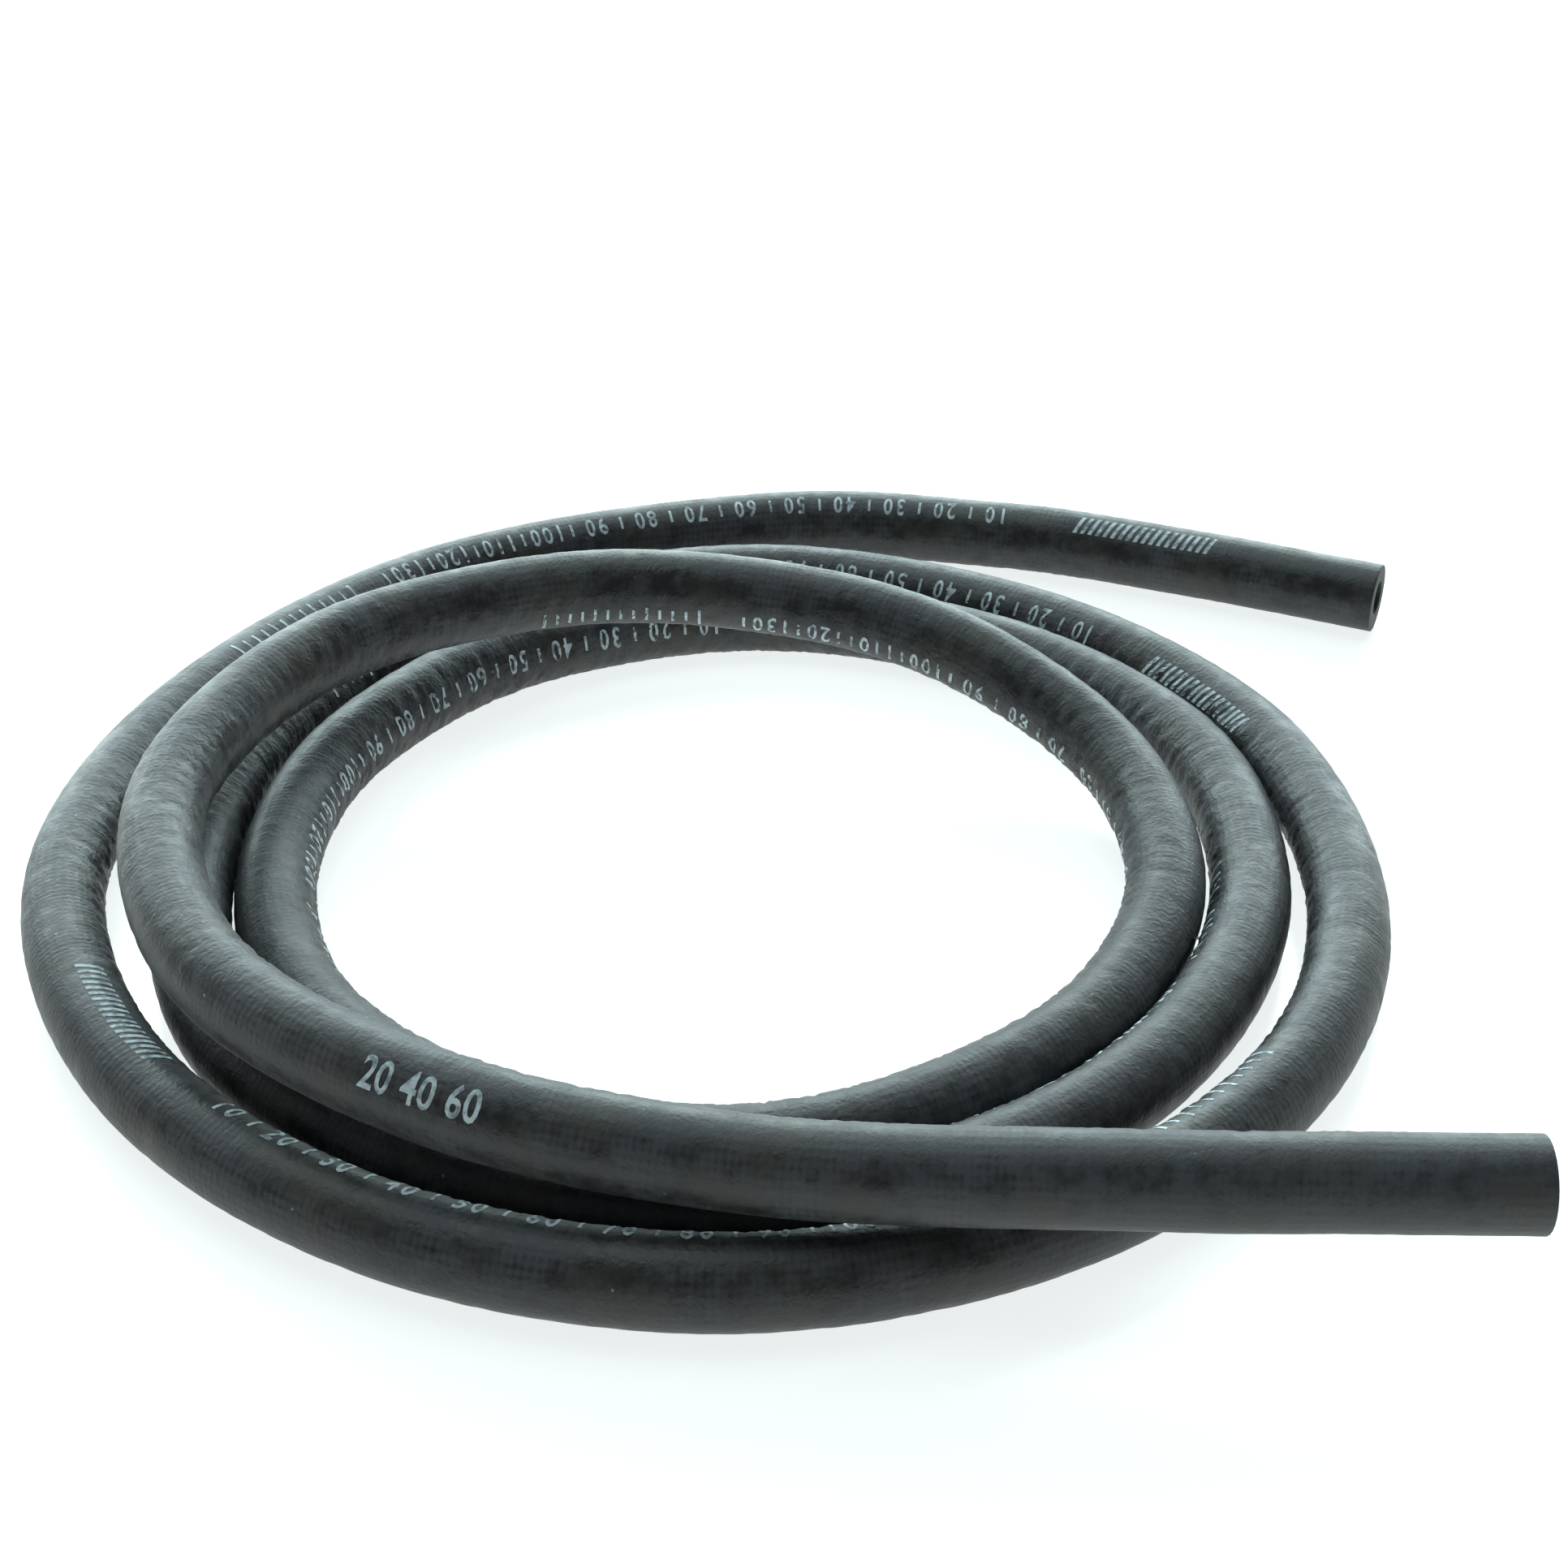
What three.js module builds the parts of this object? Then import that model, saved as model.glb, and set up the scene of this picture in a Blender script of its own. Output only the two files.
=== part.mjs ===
import * as THREE from 'three';

// Fuel hose: one length of black rubber hose lying in a loose coil of about three and a half turns.
// Millimetres, +Z up. The floor is z = 0 and the origin is under the middle of the hose's box.
// The front tail points along +X.

// The hose itself
const boreDiameter = 6.35;
const outsideDiameter = 12.7;

// The coil. A turn's place is counted in hose diameters, because the turns lie side by side:
// spread is how far the centre line lies outside clearRadius, and lift is its height above the floor.
const clearRadius = 54;
const stationsPerTurn = 12;
const firstStationDegrees = -90;
const lyingLift = 0.5;

// Spreads, clockwise seen from above, one row for each turn and the first station at the front.
const turnSpreads = [
  [2.45, 2.45, 2.7, 2.75, 2.25, 1.4, 0.75, 0.65, 0.85, 0.7, 0.5, 0.55],
  [0.95, 1.2, 1.45, 1.6, 1.95, 2.4, 2.65, 2.5, 2.25, 1.75, 1.5, 1.6],
  [2.0, 2.2, 2.5, 2.6, 3.1, 3.55, 3.85, 3.55, 3.25, 2.9, 2.8, 2.8],
  [3.0, 3.25, 3.65, 4.15, 4.45, 5.05, 5.65],
];

// The first turn lies on the others and arches over the middle at the back. The rest lie on the floor.
const firstTurnLifts = [1.55, 1.7, 1.65, 1.7, 1.85, 1.9, 1.8, 1.5, 0.9, 0.65, 0.5, 0.5];

// The front tail is straight and level, on top of the turns that it crosses.
const frontTailEndDistance = 98.5;
const frontTailStraightLength = 48;
const frontTailSpread = 2.75;
const frontTailLift = 1.65;

// The back tail lies on the floor. It leaves the coil to the right in even strides, and its spreads
// are counted to the back.
const backTailStartDistance = 46;
const backTailStrideLength = 34;
const backTailSpreads = [5.4, 4.55, 3.45];

// Facets
const sectionSides = 12;
const facetsPerTurn = 20;

const spreadToRadius = (spread) => clearRadius + spread * outsideDiameter;
const liftToHeight = (lift) => lift * outsideDiameter;

function frontTailRoute() {
  const y = -spreadToRadius(frontTailSpread);
  const z = liftToHeight(frontTailLift);
  const shares = [0, 0.5, 1];
  return shares.map((share) => (
    new THREE.Vector3(frontTailEndDistance - share * frontTailStraightLength, y, z)
  ));
}

function coilRoute() {
  return turnSpreads.flat().map((spread, index) => {
    const degrees = firstStationDegrees - (index * 360) / stationsPerTurn;
    const angle = THREE.MathUtils.degToRad(degrees);
    const radius = spreadToRadius(spread);
    const lift = index < firstTurnLifts.length ? firstTurnLifts[index] : lyingLift;
    return new THREE.Vector3(radius * Math.cos(angle), radius * Math.sin(angle), liftToHeight(lift));
  });
}

function backTailRoute() {
  const z = liftToHeight(lyingLift);
  return backTailSpreads.map((spread, index) => {
    const x = backTailStartDistance + index * backTailStrideLength;
    return new THREE.Vector3(x, spreadToRadius(spread), z);
  });
}

// The centre line. Its facets follow the stations in place of the length, so those of turns that lie
// side by side line up and never cut into each other.
class StationCurve extends THREE.CatmullRomCurve3 {
  getUtoTmapping(share) {
    return share;
  }
}

function hoseRoute() {
  const points = [...frontTailRoute(), ...coilRoute(), ...backTailRoute()];
  return new StationCurve(points, false, 'catmullrom');
}

// Corners of a regular outline with flats below, above and at the sides. The wall's corners lie on
// the true outside, and the bore's flats on the true bore, so a spigot of the bore's size passes.
function ringOutline(radius) {
  return Array.from({ length: sectionSides }, (_, index) => {
    const angle = ((index + 0.5) * 2 * Math.PI) / sectionSides;
    return new THREE.Vector2(radius * Math.cos(angle), radius * Math.sin(angle));
  });
}

function hoseSection() {
  const boreCornerRadius = boreDiameter / 2 / Math.cos(Math.PI / sectionSides);
  const section = new THREE.Shape(ringOutline(outsideDiameter / 2));
  section.holes.push(new THREE.Path(ringOutline(boreCornerRadius)));
  return section;
}

function makeHose() {
  const route = hoseRoute();
  const stretches = route.points.length - 1;
  const geometry = new THREE.ExtrudeGeometry(hoseSection(), {
    extrudePath: route,
    steps: Math.round((stretches * facetsPerTurn) / stationsPerTurn),
    bevelEnabled: false,
  });
  const rubber = new THREE.MeshStandardMaterial({ color: 0x35383a, roughness: 0.75, metalness: 0 });
  const hose = new THREE.Mesh(geometry, rubber);
  hose.name = 'hose';
  return hose;
}

// The box's middle goes over the origin, and its lowest point on the floor.
function placeOverOrigin(mesh) {
  mesh.geometry.computeBoundingBox();
  const box = mesh.geometry.boundingBox;
  const middle = box.getCenter(new THREE.Vector3());
  mesh.position.set(-middle.x, -middle.y, -box.min.z);
}

const fuelHose = new THREE.Group();
const hose = makeHose();
placeOverOrigin(hose);
fuelHose.add(hose);

export default fuelHose;
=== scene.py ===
# Coil of black rubber fuel hose, lying on a pale studio floor
import math

import bmesh
import bpy
import numpy as np
from mathutils import Matrix, Vector, noise
from mathutils.bvhtree import BVHTree


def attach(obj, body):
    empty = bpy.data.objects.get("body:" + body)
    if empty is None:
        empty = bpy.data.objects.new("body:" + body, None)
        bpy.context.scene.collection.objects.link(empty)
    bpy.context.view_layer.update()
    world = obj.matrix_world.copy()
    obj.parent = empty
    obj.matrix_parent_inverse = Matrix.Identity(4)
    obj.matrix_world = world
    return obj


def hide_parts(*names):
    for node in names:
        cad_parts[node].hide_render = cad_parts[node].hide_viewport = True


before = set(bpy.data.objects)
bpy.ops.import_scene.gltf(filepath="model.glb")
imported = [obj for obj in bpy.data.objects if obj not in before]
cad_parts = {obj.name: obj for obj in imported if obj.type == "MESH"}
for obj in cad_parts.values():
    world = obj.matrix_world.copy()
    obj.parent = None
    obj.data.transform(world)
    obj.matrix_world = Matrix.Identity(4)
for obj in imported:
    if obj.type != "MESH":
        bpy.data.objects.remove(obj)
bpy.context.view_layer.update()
print("frame loaded")

mm = 0.001


# sRGB hex to the linear colour that the shaders want
def linearColour(code):
    channels = [int(code[i:i + 2], 16) / 255 for i in (1, 3, 5)]
    return [c / 12.92 if c <= 0.04045 else ((c + 0.055) / 1.055) ** 2.4 for c in channels] + [1.0]


# Adds one node. A value from another node is wired in, and any other is typed into the socket.
def addNode(tree, kind, settings=None, inputs=None):
    node = tree.nodes.new(kind)
    for name, value in (settings or {}).items():
        setattr(node, name, value)
    for name, value in (inputs or {}).items():
        if isinstance(value, bpy.types.NodeSocket):
            tree.links.new(value, node.inputs[name])
        else:
            node.inputs[name].default_value = value
    return node


def newMaterial(name):
    material = bpy.data.materials.new(name)
    material.use_nodes = True
    material.node_tree.nodes.clear()
    return material


def linkMesh(name, points, faces):
    mesh = bpy.data.meshes.new(name)
    mesh.from_pydata(points, [], faces)
    mesh.validate()
    item = bpy.data.objects.new(name, mesh)
    bpy.context.scene.collection.objects.link(item)
    return item


# Lays a value or a vector on each point of a mesh, for the materials to read
def addLayout(item, name, values):
    kind, field = ("FLOAT_VECTOR", "vector") if values.ndim == 2 else ("FLOAT", "value")
    layout = item.data.attributes.new(name, kind, "POINT")
    layout.data.foreach_set(field, values.astype(np.float32).ravel())


# Camera: close by and 31 degrees down on the coil, a hair off level
cameraSettings = {
    "place": (2.18, -362.03, 233.07),    # mm
    "pitch": 31.23,                      # degrees below level
    "roll": 0.69,                        # degrees
    "lens": 61.17,                       # mm
    "sensor": 36,                        # mm
    "clip": (0.01, 50),                  # m, the nearest and farthest that it sees
}


def makeCamera(settings):
    data = bpy.data.cameras.new("studioCamera")
    data.lens = settings["lens"]
    data.sensor_width = settings["sensor"]
    data.clip_start, data.clip_end = settings["clip"]
    camera = bpy.data.objects.new("studioCamera", data)
    bpy.context.scene.collection.objects.link(camera)
    pitch, roll = math.radians(settings["pitch"]), math.radians(settings["roll"])
    forward = Vector((0, math.cos(pitch), -math.sin(pitch)))
    right = Vector((1, 0, 0))
    up = right.cross(forward)
    tiltedRight = math.cos(roll) * right + math.sin(roll) * up
    tiltedUp = math.cos(roll) * up - math.sin(roll) * right
    turn = Matrix((tiltedRight, tiltedUp, -forward)).transposed().to_4x4()
    camera.matrix_world = Matrix.Translation(Vector(settings["place"]) * mm) @ turn
    bpy.context.scene.camera = camera


makeCamera(cameraSettings)
print("camera set")


# The hose's route, through the same stations as in the part's source. Spreads and lifts are in
# hose diameters.
route = {
    "clearRadius": 54,                   # mm, from the middle to where the spreads start
    "stationsPerTurn": 12,
    "firstStationDegrees": -90,          # the front, from where the turns run clockwise
    "lyingLift": 0.5,
    "turnSpreads": [
        2.45, 2.45, 2.7, 2.75, 2.25, 1.4, 0.75, 0.65, 0.85, 0.7, 0.5, 0.55,
        0.95, 1.2, 1.45, 1.6, 1.95, 2.4, 2.65, 2.5, 2.25, 1.75, 1.5, 1.6,
        2.0, 2.2, 2.5, 2.6, 3.1, 3.55, 3.85, 3.55, 3.25, 2.9, 2.8, 2.8,
        3.0, 3.25, 3.65, 4.15, 4.45, 5.05, 5.65,
    ],
    "firstTurnLifts": [1.55, 1.7, 1.65, 1.7, 1.85, 1.9, 1.8, 1.5, 0.9, 0.65, 0.5, 0.5],
    "frontTail": {"end": 98.5, "straight": 48, "spread": 2.75, "lift": 1.65},
    "backTail": {"start": 46, "stride": 34, "spreads": [5.4, 4.55, 3.45]},
    "boxMiddle": (1.692, 16.775),        # mm, where the middle of the part's box falls
    "floorGap": 0.117,                   # mm that the part's flats lift it
}

hoseSize = {
    "outside": 12.7,                     # mm
    "bore": 6.35,                        # mm, a quarter inch
    "ringStep": 0.75,                    # mm from ring to ring along the hose
    "boreStep": 11,                      # mm from ring to ring down the bore
    "boreFrom": 2,                       # mm from each cut to the bore's first ring
    "sides": 32,
    "lip": 0.22,                         # mm, round of the knife cut's edges
    "reliefFade": 3,                     # mm from each cut over which the skin's relief sets in
    "squash": 0.017,                     # share that the bend below flattens the section
    "squashBend": 60,                    # mm, the bend's radius
}


def unit(vectors):
    return vectors / np.linalg.norm(vectors, axis=-1, keepdims=True)


def stationPoints(route, diameter):
    points = []
    tail = route["frontTail"]
    for share in (0, 0.5, 1):
        points.append((tail["end"] - share * tail["straight"],
                       -route["clearRadius"] - tail["spread"] * diameter, tail["lift"] * diameter))
    lifts = route["firstTurnLifts"]
    for index, spread in enumerate(route["turnSpreads"]):
        angle = math.radians(route["firstStationDegrees"] - index * 360 / route["stationsPerTurn"])
        radius = route["clearRadius"] + spread * diameter
        lift = lifts[index] if index < len(lifts) else route["lyingLift"]
        points.append((radius * math.cos(angle), radius * math.sin(angle), lift * diameter))
    tail = route["backTail"]
    for index, spread in enumerate(tail["spreads"]):
        points.append((tail["start"] + index * tail["stride"],
                       route["clearRadius"] + spread * diameter, route["lyingLift"] * diameter))
    return np.array(points) - (*route["boxMiddle"], -route["floorGap"])


# One smooth curve through the stations, as closely spaced points
def curveThrough(points, stepsPerStretch=400):
    ends = np.vstack([2 * points[0] - points[1], points, 2 * points[-1] - points[-2]])
    t = np.linspace(0, 1, stepsPerStretch, endpoint=False)[:, None]
    pieces = []
    for i in range(1, len(ends) - 2):
        before, start, stop, after = ends[i - 1:i + 3]
        leaving, arriving = (stop - before) / 2, (after - start) / 2
        pieces.append(start * (2 * t**3 - 3 * t**2 + 1) + leaving * (t**3 - 2 * t**2 + t)
                      + stop * (3 * t**2 - 2 * t**3) + arriving * (t**3 - t**2))
    return np.vstack([*pieces, points[-1:]])


# The centre line by length: its points, the way on, and how sharply it bends, per mm, evened out
# over some length
def measureLine(points, marksPerMm=4, evenedOver=30):
    along = np.concatenate([[0], np.cumsum(np.linalg.norm(np.diff(points, axis=0), axis=1))])
    marks = np.linspace(0, along[-1], int(marksPerMm * along[-1]) + 1)
    middle = np.stack([np.interp(marks, along, points[:, k]) for k in range(3)], axis=1)
    onward = unit(np.gradient(middle, marks, axis=0))
    turn = np.linalg.norm(np.gradient(onward, marks, axis=0), axis=1)
    reach = marksPerMm * evenedOver // 2
    blur = np.hanning(2 * reach + 1)
    bend = np.convolve(np.pad(turn, reach, mode="edge"), blur / blur.sum(), mode="valid")
    return {"length": float(along[-1]), "marks": marks, "middle": middle, "onward": onward,
            "bend": bend}


# At each length: the middle, the way out from the coil and the way up
def lineAt(line, lengths):
    middle, onward = (
        np.stack([np.interp(lengths, line["marks"], line[key][:, k]) for k in range(3)], axis=-1)
        for key in ("middle", "onward")
    )
    onward = unit(onward)
    outward = unit(np.cross([0, 0, 1.0], onward))
    return middle, outward, np.cross(onward, outward)


centreLine = measureLine(curveThrough(stationPoints(route, hoseSize["outside"])))
print("hose length", round(centreLine["length"], 1), "mm")


# Relief of the skin: folds where a bend presses it together, shallow dents, and one long flat
skinRelief = {
    "tightBend": 1 / 55,                 # per mm, the bend with the deepest folds and dents
    "foldDepth": 1.1,                    # mm, the deepest few reach half of this
    "foldStep": 1.45,                    # mm along the hose, half a fold
    "foldWidth": 3.2,                    # mm round the hose
    "foldOffset": 50,                    # keeps the folds from matching the dents
    "foldGain": 1.2,                     # how fast the folds deepen towards the inner side
    "foldStart": 0.2,                    # how far past the top they start
    "foldLeast": 0.02,                   # pressing below this makes no fold
    "dentDepth": 0.17,                   # mm
    "dentStep": 3.0,                     # mm
    "dentStretch": 1.3,                  # times as narrow along the hose as round it
    "dentOffset": 90,                    # mm
    "dentRise": 0.15,                    # share of the depth that stands out instead
    "dentStraight": 0.3,                 # share of the depth where the hose is straight
    "unevenDepth": 0.07,                 # mm, long soft unevenness from the extruder
    "unevenStep": 14,                    # mm
    "markFrom": 1440,                    # mm along the hose, where it was pressed flat in its pack
    "markTo": 1600,
    "markFade": (25, 15),                # mm at the flat's start and end
    "markAngle": 8,                      # degrees round the hose
    "markStep": 26,                      # degrees over which it steps down
    "markBack": 60,                      # degrees over which it comes up again
    "markWaver": [(4, 4.7), (3, 2.1)],   # degrees to a side, and mm for a radian of the wave
    "markDepth": 0.36,                   # mm
}


# 0 where the hose is straight, 1 in its tightest bends
def bentShare(relief, bends):
    return np.clip(bends / relief["tightBend"], 0, 1)


# 0 to about 1 where a bend presses the skin together
def pressedIn(relief, angles, bends):
    inside = np.clip(-relief["foldGain"] * np.sin(angles) - relief["foldStart"], 0, 1)
    return inside * np.sqrt(bentShare(relief, bends))


# The pressed flat: a soft step down towards the outer side, which comes up again slowly
def pressMark(relief, lengths, angles):
    fadeIn, fadeOut = relief["markFade"]
    along = (np.clip((lengths - relief["markFrom"]) / fadeIn, 0, 1)
             * np.clip((relief["markTo"] - lengths) / fadeOut, 0, 1))
    waver = sum(degrees * np.sin(lengths / step) for degrees, step in relief["markWaver"])
    across = (np.degrees(angles) + 180) % 360 - 180 - relief["markAngle"] - waver
    down = np.clip(across / relief["markStep"], 0, 1)
    back = np.clip(1 - (across - relief["markStep"]) / relief["markBack"], 0, 1)
    return -relief["markDepth"] * along * down * back


def skinHeight(size, relief, lengths, angles, bends):
    radius = size["outside"] / 2
    x, y = radius * np.cos(angles), radius * np.sin(angles)
    pressed = pressedIn(relief, angles, bends)
    soft = np.stack([x, y, lengths], axis=1) / relief["unevenStep"]
    dented = np.stack([x, y + relief["dentOffset"], relief["dentStretch"] * lengths],
                      axis=1) / relief["dentStep"]
    sharp = np.stack([x / relief["foldWidth"], y / relief["foldWidth"] + relief["foldOffset"],
                      lengths / relief["foldStep"]], axis=1)
    uneven = np.array([noise.noise(place) for place in soft])
    dents = np.clip([noise.noise(place) for place in dented], -1, relief["dentRise"])
    folds = np.array([abs(noise.noise(place)) if press > relief["foldLeast"] else 0
                      for place, press in zip(sharp, pressed)])
    straight = relief["dentStraight"]
    dentShare = straight + (1 - straight) * bentShare(relief, bends)
    return (relief["unevenDepth"] * uneven + relief["dentDepth"] * dentShare * dents
            - relief["foldDepth"] * pressed * folds + pressMark(relief, lengths, angles))


# Points on the hose by length along it and angle round it, 0 on top and a quarter turn on its
# outer side
def hosePoints(line, size, relief, lengths, angles, radii, skin):
    middle, outward, up = lineAt(line, lengths)
    bends = np.interp(lengths, line["marks"], line["bend"])
    oval = 1 + size["squash"] * size["squashBend"] * bends * np.cos(2 * angles)
    reach = radii * oval + skin * skinHeight(size, relief, lengths, angles, bends)
    ways = np.cos(angles)[:, None] * up + np.sin(angles)[:, None] * outward
    return middle + reach[:, None] * ways


# The same points with the hose laid out straight, in mm, so that patterns follow it
def straightPoints(lengths, angles, radii):
    return np.stack([radii * np.cos(angles), radii * np.sin(angles), lengths], axis=1)


# How far a point of the lip lies from the cut and from the wall's side
def lipStep(lip, degrees):
    turn = math.radians(degrees)
    return lip * (1 - math.sin(turn)), lip * (1 - math.cos(turn))


# Rings as (length, radius, share of the skin's relief): along the skin, over the back cut, down
# the bore to the front and over the front cut
def hoseRings(line, size):
    outer, inner, lip, end = size["outside"] / 2, size["bore"] / 2, size["lip"], line["length"]
    fade, boreFrom = size["reliefFade"], size["boreFrom"]
    wallShares = (0.25, 0.5, 0.75)
    skinLips = [lipStep(lip, degrees) for degrees in (90, 60, 30)]
    boreLips = [lipStep(lip, degrees) for degrees in (90, 45, 0)]
    rings = [(depth, outer - inset, 0) for depth, inset in skinLips]
    for stop in np.linspace(lip, end - lip, round((end - 2 * lip) / size["ringStep"])):
        rings.append((stop, outer, min(1, stop / fade, (end - stop) / fade)))
    rings += [(end - depth, outer - inset, 0) for depth, inset in reversed(skinLips)]
    rings += [(end, outer - (outer - inner) * share, 0) for share in wallShares]
    rings += [(end - depth, inner + inset, 0) for depth, inset in boreLips]
    boreStops = np.linspace(end - boreFrom, boreFrom, round(end / size["boreStep"]))
    rings += [(stop, inner, 0) for stop in boreStops]
    rings += [(depth, inner + inset, 0) for depth, inset in reversed(boreLips)]
    rings += [(0, outer - (outer - inner) * share, 0) for share in reversed(wallShares)]
    return rings


def makeHose(line, size, relief):
    rings, sides = hoseRings(line, size), size["sides"]
    angles = np.tile(np.arange(sides) * 2 * math.pi / sides, len(rings))
    lengths, radii, skin = (np.repeat([ring[k] for ring in rings], sides) for k in range(3))
    points = hosePoints(line, size, relief, lengths, angles, radii, skin)
    faces = []
    for ring in range(len(rings)):
        here, there = ring * sides, (ring + 1) % len(rings) * sides
        for side in range(sides):
            aside = (side + 1) % sides
            faces.append((here + side, here + aside, there + aside, there + side))
    hose = linkMesh("fuelHose", points * mm, faces)
    bends = np.interp(lengths, line["marks"], line["bend"])
    addLayout(hose, "straightHose", straightPoints(lengths, angles, radii))
    addLayout(hose, "pressedIn", pressedIn(relief, angles, bends))
    addLayout(hose, "bent", bentShare(relief, bends))
    hose.data.shade_smooth()
    return hose, rings


hose, rings = makeHose(centreLine, hoseSize, skinRelief)
print("hose mesh", len(hose.data.polygons), "faces")


# Cover: nitrile rubber, extruded and steam cured. The eye sees a matt near-black with a grey bloom,
# fine leathery creases across the hose, and the braid below just showing through.
coverRubber = {
    "dark": "#1d1e20",
    "bloom": "#404245",
    "warm": "#39372e",                   # where old bloom has yellowed
    "dust": "#8f9797",
    "roughness": 0.5,
    "roughnessSpread": (-0.09, 0.1),     # from the darkest rubber to the most bloomed
    "spreadRange": (0.75, 1.2),          # of the bloom
    "ior": 1.5,
    "cloudSize": 8,                      # mm, patches of bloom
    "cloudWeight": 0.9,
    "mottleSize": 2.2,                   # mm
    "bloomRange": (0.77, 1.17),          # clouds and mottle from all dark to all bloom
    "warmSize": 11,                      # mm
    "warmRange": (0.5, 0.75),
    "warmMost": 0.8,
    "paleFrontEnd": (39, 130),                # mm from the front end, over which the cover goes from drawn paler to its own tone
    "paleFrontEndBloom": 0.16,
    "waverSize": 2,                      # mm, what bends the creases
    "waverReach": 2.4,                   # mm
    "creaseStep": 0.8,                   # mm along the hose, the real ones go down to half of that
    "creaseWidth": 1.15,                 # mm round the hose
    "creaseDepth": 0.14,                 # mm in the tightest bends
    "creaseStraight": 0.3,               # share of the depth where the hose is straight
    "creaseInside": 0.5,                 # more of it where a bend presses the skin together
    "grainSize": 0.5,                    # mm, the skin's grain is finer, drawn as coarse as shows
    "grainDepth": 0.045,                 # mm
    "braidCount": 14,                    # strands each way round the hose
    "braidAngle": 54,                    # degrees from the hose's own line
    "braidDepth": 0.022,                 # mm that the cover sinks between strands
    "braidTint": 0.16,
    "braidRange": (0.4, 0.65),           # of the clouds, the cover is thin enough past these
    "dustSpacing": 7,                    # mm
    "dustSize": 0.16,                    # mm
    "dustFade": 1.6,                     # times the size, where a speck ends
    "dustMost": 0.7,
}


def makeCoverRubber(look, size):
    material = newMaterial("steamCuredNitrileRubber")
    tree = material.node_tree
    straight = addNode(tree, "ShaderNodeAttribute", {
        "attribute_name": "straightHose"}).outputs["Vector"]
    pressed = addNode(tree, "ShaderNodeAttribute", {"attribute_name": "pressedIn"}).outputs["Fac"]
    bent = addNode(tree, "ShaderNodeAttribute", {"attribute_name": "bent"}).outputs["Fac"]

    # bloom clouds and mottle
    clouds = addNode(tree, "ShaderNodeTexNoise", {}, {
        "Vector": straight, "Scale": 1 / look["cloudSize"], "Detail": 2.0}).outputs[0]
    mottle = addNode(tree, "ShaderNodeTexNoise", {}, {
        "Vector": straight, "Scale": 1 / look["mottleSize"],
        "Detail": 4.0, "Roughness": 0.6}).outputs[0]

    # creases: a noise that is short along the hose and long round it, bent by a slower one
    waver = addNode(tree, "ShaderNodeTexNoise", {}, {
        "Vector": straight, "Scale": 1 / look["waverSize"], "Detail": 1.0}).outputs["Color"]
    wavering = addNode(tree, "ShaderNodeVectorMath", {"operation": "MULTIPLY_ADD"}, {
        0: waver, 1: (look["waverReach"],) * 3, 2: straight}).outputs[0]
    perCrease = (1 / look["creaseWidth"], 1 / look["creaseWidth"], 1 / look["creaseStep"])
    stretched = addNode(tree, "ShaderNodeVectorMath", {"operation": "MULTIPLY"}, {
        0: wavering, 1: perCrease}).outputs[0]
    creases = addNode(tree, "ShaderNodeTexNoise", {}, {
        "Vector": stretched, "Scale": 1.0, "Detail": 2.0, "Roughness": 0.5}).outputs[0]

    # braid: two sets of slanting waves, counted round the hose
    parts = addNode(tree, "ShaderNodeSeparateXYZ", {}, {0: straight}).outputs
    turn = addNode(tree, "ShaderNodeMath", {"operation": "ARCTAN2"}, {
        0: parts[1], 1: parts[0]}).outputs[0]
    perMm = look["braidCount"] * math.tan(math.radians(look["braidAngle"])) / (size["outside"] / 2)
    strands = addNode(tree, "ShaderNodeMath", {"operation": "MULTIPLY"}, {
        0: turn, 1: float(look["braidCount"])}).outputs[0]
    waves = []
    for slant in (perMm, -perMm):
        phase = addNode(tree, "ShaderNodeMath", {"operation": "MULTIPLY_ADD"}, {
            0: parts[2], 1: slant, 2: strands}).outputs[0]
        waves.append(addNode(tree, "ShaderNodeMath", {"operation": "SINE"}, {0: phase}).outputs[0])
    braid = addNode(tree, "ShaderNodeMath", {"operation": "MULTIPLY"}, {
        0: waves[0], 1: waves[1]}).outputs[0]
    showing = addNode(tree, "ShaderNodeMapRange", {}, {
        "Value": clouds,
        "From Min": look["braidRange"][0], "From Max": look["braidRange"][1]}).outputs[0]
    ghost = addNode(tree, "ShaderNodeMath", {"operation": "MULTIPLY"}, {
        0: braid, 1: showing}).outputs[0]

    # colour: dark to bloom by clouds, mottle and braid
    bloomed = addNode(tree, "ShaderNodeMath", {"operation": "MULTIPLY_ADD"}, {
        0: clouds, 1: look["cloudWeight"], 2: mottle}).outputs[0]
    bloomed = addNode(tree, "ShaderNodeMath", {"operation": "MULTIPLY_ADD"}, {
        0: ghost, 1: look["braidTint"], 2: bloomed}).outputs[0]
    # the cover is drawn paler towards the front end
    paleFrontEnd = addNode(tree, "ShaderNodeMapRange", {}, {
        "Value": parts[2], "From Min": look["paleFrontEnd"][0], "From Max": look["paleFrontEnd"][1],
        "To Min": look["paleFrontEndBloom"], "To Max": 0.0}).outputs[0]
    bloomed = addNode(tree, "ShaderNodeMath", {"operation": "ADD"}, {
        0: paleFrontEnd, 1: bloomed}).outputs[0]
    share = addNode(tree, "ShaderNodeMapRange", {}, {
        "Value": bloomed,
        "From Min": look["bloomRange"][0], "From Max": look["bloomRange"][1]}).outputs[0]
    tone = addNode(tree, "ShaderNodeMix", {"data_type": "RGBA"}, {
        0: share, 6: linearColour(look["dark"]), 7: linearColour(look["bloom"])}).outputs[2]

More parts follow.
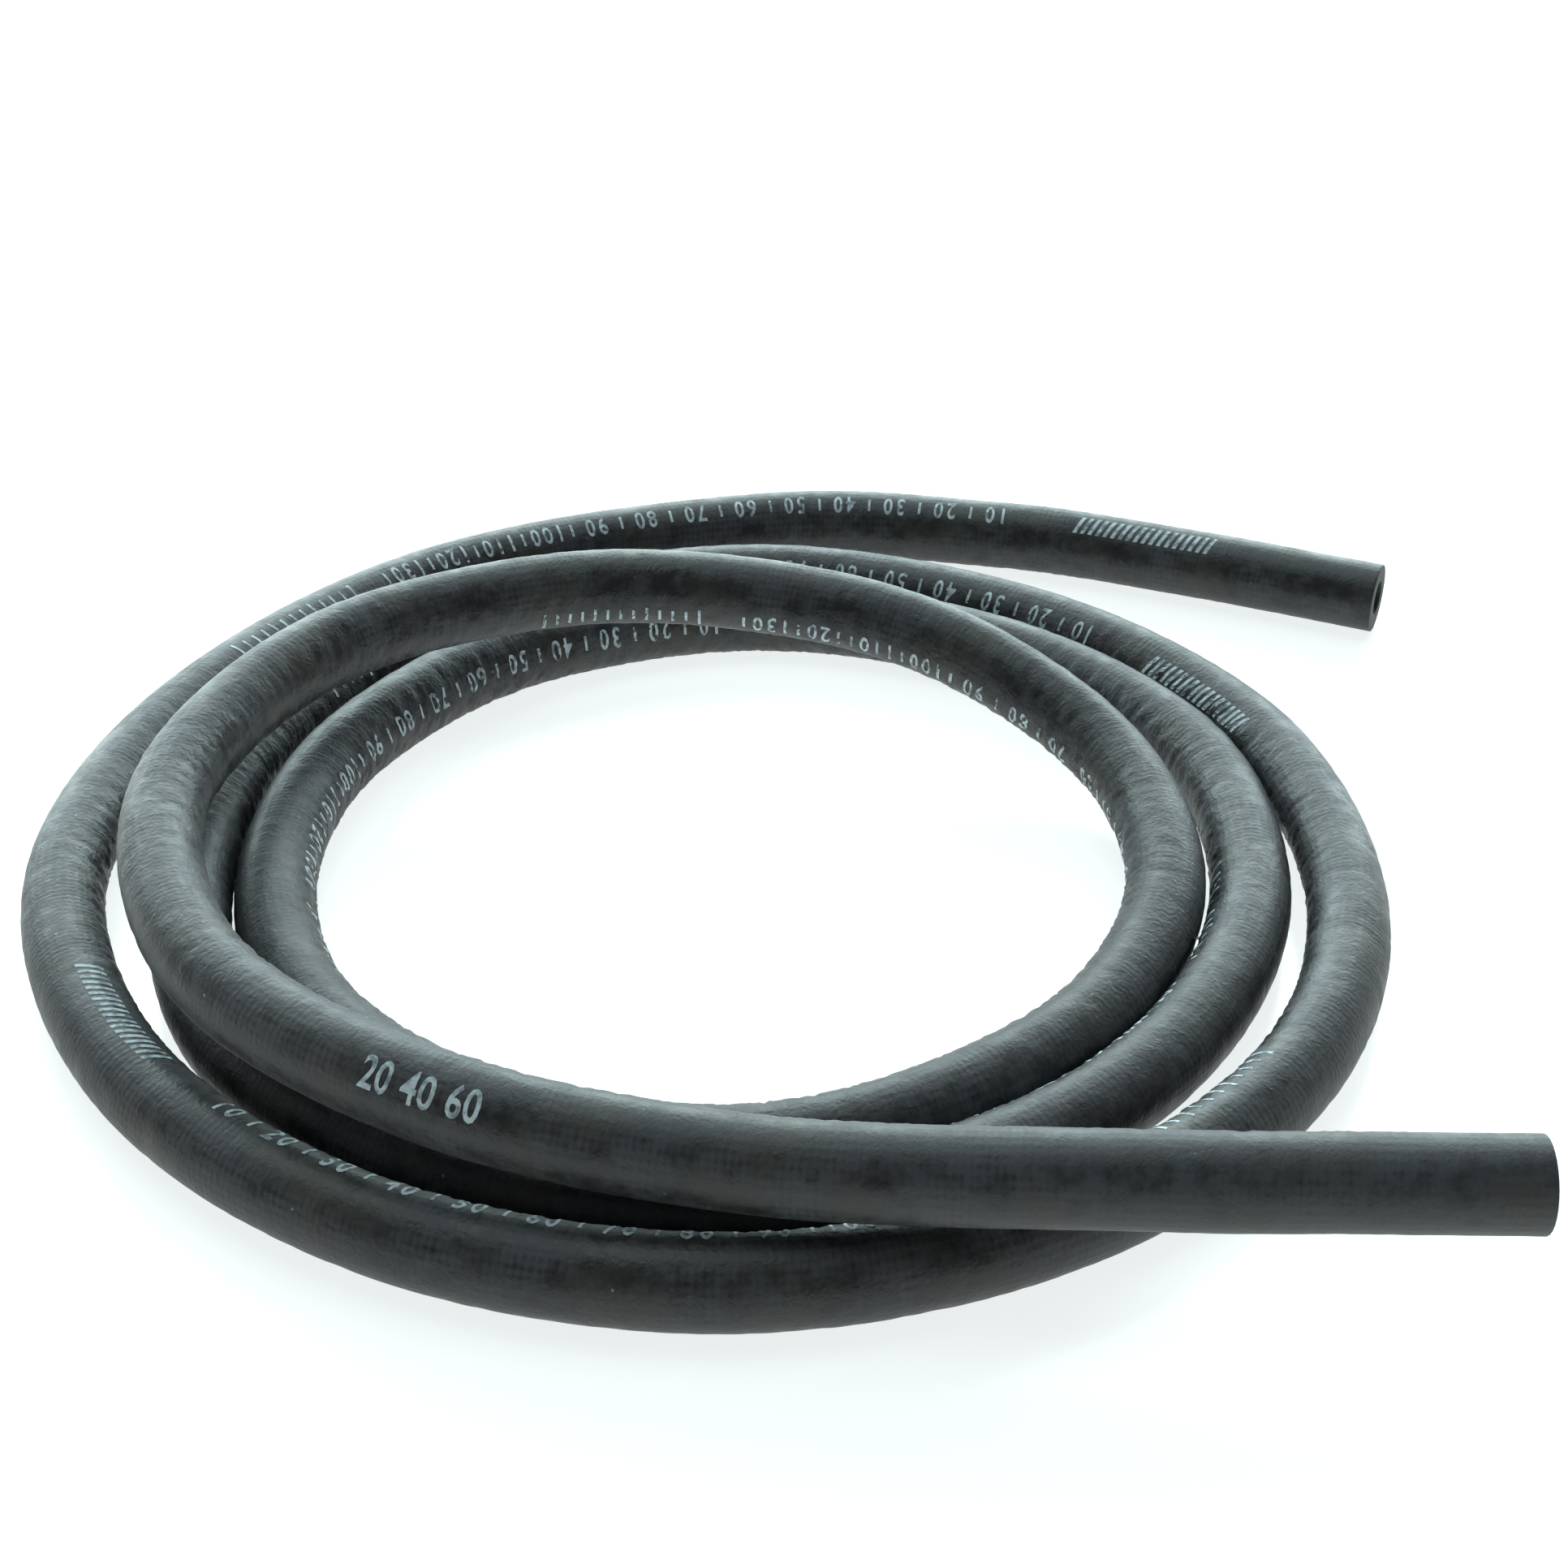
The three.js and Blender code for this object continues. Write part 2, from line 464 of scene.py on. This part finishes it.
    # then the yellowed patches, and specks of dust
    yellowing = addNode(tree, "ShaderNodeTexNoise", {}, {
        "Vector": wavering, "Scale": 1 / look["warmSize"], "Detail": 3.0}).outputs[0]
    yellowed = addNode(tree, "ShaderNodeMapRange", {}, {
        "Value": yellowing, "From Min": look["warmRange"][0], "From Max": look["warmRange"][1],
        "To Min": 0.0, "To Max": look["warmMost"]}).outputs[0]
    tone = addNode(tree, "ShaderNodeMix", {"data_type": "RGBA"}, {
        0: yellowed, 6: tone, 7: linearColour(look["warm"])}).outputs[2]
    cells = addNode(tree, "ShaderNodeTexVoronoi", {}, {
        "Vector": straight, "Scale": 1 / look["dustSpacing"]}).outputs["Distance"]
    edge = look["dustSize"] / look["dustSpacing"]
    speck = addNode(tree, "ShaderNodeMapRange", {}, {
        "Value": cells, "From Min": edge, "From Max": look["dustFade"] * edge,
        "To Min": look["dustMost"], "To Max": 0.0}).outputs[0]
    colour = addNode(tree, "ShaderNodeMix", {"data_type": "RGBA"}, {
        0: speck, 6: tone, 7: linearColour(look["dust"])}).outputs[2]
    gloss = addNode(tree, "ShaderNodeMapRange", {}, {
        "Value": bloomed,
        "From Min": look["spreadRange"][0], "From Max": look["spreadRange"][1],
        "To Min": look["roughness"] + look["roughnessSpread"][0],
        "To Max": look["roughness"] + look["roughnessSpread"][1]}).outputs[0]

    # relief: the bends wrinkle the skin, most on their inside
    deeper = addNode(tree, "ShaderNodeMath", {"operation": "MULTIPLY_ADD"}, {
        0: bent, 1: 1 - look["creaseStraight"], 2: look["creaseStraight"]}).outputs[0]
    deeper = addNode(tree, "ShaderNodeMath", {"operation": "MULTIPLY_ADD"}, {
        0: pressed, 1: look["creaseInside"], 2: deeper}).outputs[0]
    creased = addNode(tree, "ShaderNodeMath", {"operation": "MULTIPLY"}, {
        0: creases, 1: deeper}).outputs[0]
    grain = addNode(tree, "ShaderNodeTexNoise", {}, {
        "Vector": straight, "Scale": 1 / look["grainSize"], "Detail": 2.0}).outputs[0]
    creaseRelief = addNode(tree, "ShaderNodeBump", {}, {
        "Height": creased, "Strength": 1.0, "Distance": look["creaseDepth"] * mm}).outputs[0]
    braidRelief = addNode(tree, "ShaderNodeBump", {}, {
        "Height": ghost, "Strength": 1.0, "Distance": look["braidDepth"] * mm,
        "Normal": creaseRelief}).outputs[0]
    relief = addNode(tree, "ShaderNodeBump", {}, {
        "Height": grain, "Strength": 1.0, "Distance": look["grainDepth"] * mm,
        "Normal": braidRelief}).outputs[0]

    shader = addNode(tree, "ShaderNodeBsdfPrincipled", {}, {
        "Base Color": colour, "Roughness": gloss, "IOR": look["ior"], "Normal": relief})
    addNode(tree, "ShaderNodeOutputMaterial", {}, {"Surface": shader.outputs[0]})
    return material


# Cut ends and bore: the same rubber, cut square with a knife. The eye sees a darker face with
# faint blade lines.
cutRubber = {
    "dark": "#202224",
    "pale": "#34383a",
    "roughness": 0.66,
    "ior": 1.5,
    "bladeStep": 0.35,                   # mm, from one blade line towards the next
    "bladeDrift": 0.12,                  # per mm, how slowly a line changes along its way
    "bladeScale": 0.7,
    "bladeDepth": 0.03,                  # mm
}


def makeCutRubber(look):
    material = newMaterial("knifeCutNitrileRubber")
    tree = material.node_tree
    straight = addNode(tree, "ShaderNodeAttribute", {
        "attribute_name": "straightHose"}).outputs["Vector"]
    across = addNode(tree, "ShaderNodeVectorMath", {"operation": "MULTIPLY"}, {
        0: straight,
        1: (1 / look["bladeStep"], look["bladeDrift"], look["bladeDrift"])}).outputs[0]
    lines = addNode(tree, "ShaderNodeTexNoise", {}, {
        "Vector": across, "Scale": look["bladeScale"], "Detail": 2.0}).outputs[0]
    tone = addNode(tree, "ShaderNodeMix", {"data_type": "RGBA"}, {
        0: lines, 6: linearColour(look["dark"]), 7: linearColour(look["pale"])}).outputs[2]
    relief = addNode(tree, "ShaderNodeBump", {}, {
        "Height": lines, "Strength": 1.0, "Distance": look["bladeDepth"] * mm}).outputs[0]
    shader = addNode(tree, "ShaderNodeBsdfPrincipled", {}, {
        "Base Color": tone, "Roughness": look["roughness"], "IOR": look["ior"], "Normal": relief})
    addNode(tree, "ShaderNodeOutputMaterial", {}, {"Surface": shader.outputs[0]})
    return material


hose.data.materials.append(makeCoverRubber(coverRubber, hoseSize))
hose.data.materials.append(makeCutRubber(cutRubber))
# the skin's rings come first, and every strip of faces after them is cut rubber
skinRings = sum(ring[1] > hoseSize["outside"] / 2 - hoseSize["lip"] for ring in rings)
for face in hose.data.polygons:
    face.material_index = int(face.index // hoseSize["sides"] > skinRings)
print("rubber done")


# Ink: a plain length scale that a print wheel repeats every foot along one line of the hose, which
# winds slowly round it. Lengths are in mm, angles in degrees round the hose.
inkScale = {
    "wheelRound": 304.8,
    "firstMark": 2047,                   # along the hose, read back towards the front end
    "clearEnd": 4,                       # left bare at both ends
    "anglesAlong": [
        (0, -140), (300, -122), (380, -112), (440, -100), (660, -66), (780, -74), (930, -66),
        (980, -54), (1350, -45), (1435, -46), (1550, -29), (1700, -21), (1725, -12),
        (1843, -17), (1900, -30), (2079, -25),
    ],
    "hatch": {"count": 18, "step": 1.5, "width": 0.75, "lean": 0.35},
    "numbers": {"count": 13, "step": 10, "start": 42},   # the step makes them read in millimetres
    "ticks": {"count": 13, "step": 2.4, "start": 175, "group": 4},
    "digitHeight": 3.9,
    "digitPitch": 2.5,
    "stroke": 0.5,
    "shortTick": 0.7,                    # share of a digit's height
    "sideNumbers": [(146, 45, "20"), (140, 45, "40"), (134, 44, "60")],
    "sideDigitHeight": 4.6,
    "sideDigitPitch": 2.3,
    "lift": 0.05,                        # each mark's height above the rubber
    "sink": 0.15,                        # and its depth in it
    "dropFrom": 0.35,                    # above the hose's true outside, clear of its relief
}


# A digit as a flat mesh of small faces, so that it bends round the hose. heightOfSize is how high
# the font's digits are as a share of its size.
def digitShape(digit, height, narrow=0.7, cell=0.6, bolder=0.1, heightOfSize=0.7):
    curve = bpy.data.curves.new("digitShape", "FONT")
    curve.body = digit
    curve.size = (height - 2 * bolder) / heightOfSize
    curve.resolution_u = 3
    curve.offset = bolder
    curve.align_x = "CENTER"
    item = bpy.data.objects.new("digitShape", curve)
    flat = bpy.data.meshes.new_from_object(item)
    work = bmesh.new()
    work.from_mesh(flat)
    for stop in np.arange(-height, height, cell):
        for normal in ((0, 1, 0), (1, 0, 0)):
            everything = [*work.verts, *work.edges, *work.faces]
            bmesh.ops.bisect_plane(work, geom=everything, plane_co=(stop, stop, 0),
                                   plane_no=normal)
    bmesh.ops.remove_doubles(work, verts=work.verts, dist=1e-4)
    work.verts.index_update()
    points = np.array([(v.co.x * narrow, v.co.y, 0) for v in work.verts])
    points[:, 1] -= (points[:, 1].min() + points[:, 1].max()) / 2
    faces = [[v.index for v in face.verts] for face in work.faces]
    work.free()
    bpy.data.meshes.remove(flat)
    bpy.data.objects.remove(item)
    bpy.data.curves.remove(curve)
    return points, faces


# A straight stroke across the scale, which may lean
def strokeShape(height, width, lean=0.0, cell=0.6):
    steps = math.ceil(height / cell)
    points, faces = [], []
    for step in range(steps + 1):
        y = height * (step / steps - 0.5)
        points += [(lean * y - width / 2, y, 0), (lean * y + width / 2, y, 0)]
        if step:
            n = 2 * step
            faces.append([n - 2, n - 1, n + 1, n])
    return np.array(points), faces


# The flat shape as a thin closed slab
def slab(shape, low, high):
    points, faces = shape
    count = len(points)
    sides = [(a, b) for face in faces for a, b in zip(face, face[1:] + face[:1])]
    paired = set(sides)
    rims = [(a, b) for a, b in sides if (b, a) not in paired]
    above, below = points + (0, 0, high), points + (0, 0, low)
    closed = faces + [[v + count for v in reversed(face)] for face in faces]
    closed += [[b, a, a + count, b + count] for a, b in rims]
    return np.vstack([above, below]), closed


# One turn of the print wheel: each mark's shape and how far it is from the turn's start
def wheelMarks(scale):
    height, hatch, numbers, ticks = (
        scale[key] for key in ("digitHeight", "hatch", "numbers", "ticks"))
    tick = strokeShape(height, scale["stroke"])
    shortTick = strokeShape(scale["shortTick"] * height, scale["stroke"])
    leaning = strokeShape(height, hatch["width"], lean=hatch["lean"])
    digits = {d: digitShape(d, height) for d in "0123456789"}
    marks = [(leaning, hatch["step"] * n) for n in range(hatch["count"])]
    for n in range(numbers["count"]):
        middle = numbers["start"] + numbers["step"] * n
        text = str(numbers["step"] * (n + 1))
        marks += [(digits[d], middle + scale["digitPitch"] * (k - (len(text) - 1) / 2))
                  for k, d in enumerate(text)]
        marks.append((shortTick, middle + numbers["step"] / 2))
    for n in range(ticks["count"]):
        mark = shortTick if n % ticks["group"] else tick
        marks.append((mark, ticks["start"] + ticks["step"] * n))
    return marks


# All marks on the hose: shape, length along it and angle round it
def placedMarks(line, scale):
    stops, degrees = zip(*scale["anglesAlong"])
    marks, clear = wheelMarks(scale), scale["clearEnd"]
    placed = []
    start = scale["firstMark"]
    while start > 0:
        for shape, offset in marks:
            length = start - offset
            if clear < length < line["length"] - clear:
                placed.append((shape, length, np.interp(length, stops, degrees)))
        start -= scale["wheelRound"]
    sideDigits = {d: digitShape(d, scale["sideDigitHeight"]) for d in "0246"}
    for length, angle, text in scale["sideNumbers"]:
        placed += [(sideDigits[d], length - scale["sideDigitPitch"] * (k - 0.5), angle)
                   for k, d in enumerate(text)]
    return placed


# Drops each point onto the hose's own skin from just above it
def laidOnSkin(hose, line, size, scale, lengths, angles, radii):
    skin = BVHTree.FromPolygons([v.co for v in hose.data.vertices],
                                [f.vertices for f in hose.data.polygons])
    radius = size["outside"] / 2
    middle, outward, up = lineAt(line, lengths)
    ways = np.cos(angles)[:, None] * up + np.sin(angles)[:, None] * outward
    laid = []
    for centre, way, high in zip(middle, ways, radii - radius):
        start = centre + (radius + scale["dropFrom"]) * way
        place = skin.ray_cast(Vector(start * mm), Vector(-way), radius * mm)[0]
        if place is None:                # slipped between two faces
            place = Vector((centre + radius * way) * mm)
        laid.append(place + Vector(way) * high * mm)
    return laid


def makeInk(hose, line, size, scale):
    radius = size["outside"] / 2
    allPoints, allFaces, count = [], [], 0
    for shape, length, angle in placedMarks(line, scale):
        points, faces = slab(shape, -scale["sink"], scale["lift"])
        allFaces += [[v + count for v in face] for face in faces]
        allPoints.append(np.stack([length - points[:, 0],
                                   math.radians(angle) - points[:, 1] / radius,
                                   radius + points[:, 2]], axis=1))
        count += len(points)
    lengths, angles, radii = np.vstack(allPoints).T
    laid = laidOnSkin(hose, line, size, scale, lengths, angles, radii)
    ink = linkMesh("inkScale", laid, allFaces)
    addLayout(ink, "straightHose", straightPoints(lengths, angles, radii))
    return ink


# Print: pigment ink rolled on by a wheel. The eye sees a thin pale blue-grey that misses the low
# spots.
wheelInk = {
    "full": "#c3d3d7",
    "thin": "#76838a",
    "roughness": 0.6,
    "ior": 1.48,
    "patchSize": 1.3,                    # mm, where the wheel pressed less
    "patchRange": (0.35, 0.55),
    "patchDepth": 0.02,                  # mm
}


def makeWheelInk(look):
    material = newMaterial("rolledPigmentInk")
    tree = material.node_tree
    straight = addNode(tree, "ShaderNodeAttribute", {
        "attribute_name": "straightHose"}).outputs["Vector"]
    patches = addNode(tree, "ShaderNodeTexNoise", {}, {
        "Vector": straight, "Scale": 1 / look["patchSize"], "Detail": 3.0}).outputs[0]
    share = addNode(tree, "ShaderNodeMapRange", {}, {
        "Value": patches,
        "From Min": look["patchRange"][0], "From Max": look["patchRange"][1]}).outputs[0]
    tone = addNode(tree, "ShaderNodeMix", {"data_type": "RGBA"}, {
        0: share, 6: linearColour(look["thin"]), 7: linearColour(look["full"])}).outputs[2]
    relief = addNode(tree, "ShaderNodeBump", {}, {
        "Height": patches, "Strength": 1.0, "Distance": look["patchDepth"] * mm}).outputs[0]
    shader = addNode(tree, "ShaderNodeBsdfPrincipled", {}, {
        "Base Color": tone, "Roughness": look["roughness"], "IOR": look["ior"], "Normal": relief})
    addNode(tree, "ShaderNodeOutputMaterial", {}, {"Surface": shader.outputs[0]})
    return material


ink = makeInk(hose, centreLine, hoseSize, inkScale)
ink.data.materials.append(makeWheelInk(wheelInk))
print("ink done,", len(ink.data.polygons), "faces")


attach(hose, "root")
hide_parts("hose")
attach(ink, "root")


# Studio: a table of white acrylic, cast and polished and lit from within, which the eye sees as
# plain white with a soft mirror image. Behind it are a wide soft light and a white wall, and the
# room is dim. The matt rubber is seen mostly by what it mirrors of the back light, so its tops
# turn grey and its near sides stay dark.
studio = {
    "floorColour": "#a2a8a4",
    "floorGlow": 0.82,
    "floorRoughness": 0.2,
    "floorIor": 1.49,
    "floorHalf": 30.0,                   # m
    "glowColour": "#faffff",
    "skyColour": "#f6fbff",
    "softboxColour": "#e2fcfd",
    "roomLight": 0.13,                   # strength of the sky on the camera's side
    "wallLight": 0.9,                    # and of the white wall behind the table
    "wallFrom": -0.4,                    # how far to the front the wall's light reaches, -1 to 1
    "lights": [                          # name, place and aim in m, width and height in m, watts
        ("backSoftbox", (-0.1, 1.3, 0.55), (0, 0, 0.1), 3.0, 1.1, 50),
        ("overheadSoftbox", (-0.2, 0.2, 1.3), (0, 0, 0), 0.9, 0.9, 5),
    ],
}


def makeFloor(settings):
    half = settings["floorHalf"]
    corners = [(-half, -half, 0), (half, -half, 0), (half, half, 0), (-half, half, 0)]
    floor = linkMesh("studioFloor", corners, [(0, 1, 2, 3)])
    material = newMaterial("litWhiteAcrylic")
    tree = material.node_tree
    shader = addNode(tree, "ShaderNodeBsdfPrincipled", {}, {
        "Base Color": linearColour(settings["floorColour"]),
        "Roughness": settings["floorRoughness"], "IOR": settings["floorIor"],
        "Emission Color": linearColour(settings["glowColour"]),
        "Emission Strength": settings["floorGlow"]})
    addNode(tree, "ShaderNodeOutputMaterial", {}, {"Surface": shader.outputs[0]})
    floor.data.materials.append(material)


def makeRoom(settings):
    world = bpy.data.worlds.new("studioWorld")
    bpy.context.scene.world = world
    world.use_nodes = True
    tree = world.node_tree
    way = addNode(tree, "ShaderNodeTexCoord").outputs["Generated"]
    backward = addNode(tree, "ShaderNodeSeparateXYZ", {}, {0: way}).outputs[1]
    strength = addNode(tree, "ShaderNodeMapRange", {}, {
        "Value": backward, "From Min": settings["wallFrom"], "From Max": 1.0,
        "To Min": settings["roomLight"], "To Max": settings["wallLight"]}).outputs[0]
    sky = tree.nodes["Background"]
    sky.inputs["Color"].default_value = linearColour(settings["skyColour"])
    tree.links.new(strength, sky.inputs["Strength"])


def makeLights(settings):
    for name, place, aim, width, height, watts in settings["lights"]:
        light = bpy.data.lights.new(name, "AREA")
        light.shape, light.size, light.size_y, light.energy = "RECTANGLE", width, height, watts
        light.color = linearColour(settings["softboxColour"])[:3]
        lamp = bpy.data.objects.new(name, light)
        bpy.context.scene.collection.objects.link(lamp)
        lamp.location = place
        lamp.rotation_euler = (Vector(aim) - Vector(place)).to_track_quat("-Z", "Y").to_euler()
        lamp.visible_camera = False


makeFloor(studio)
makeRoom(studio)
makeLights(studio)
bpy.context.scene.view_settings.view_transform = "Standard"
print("studio done")
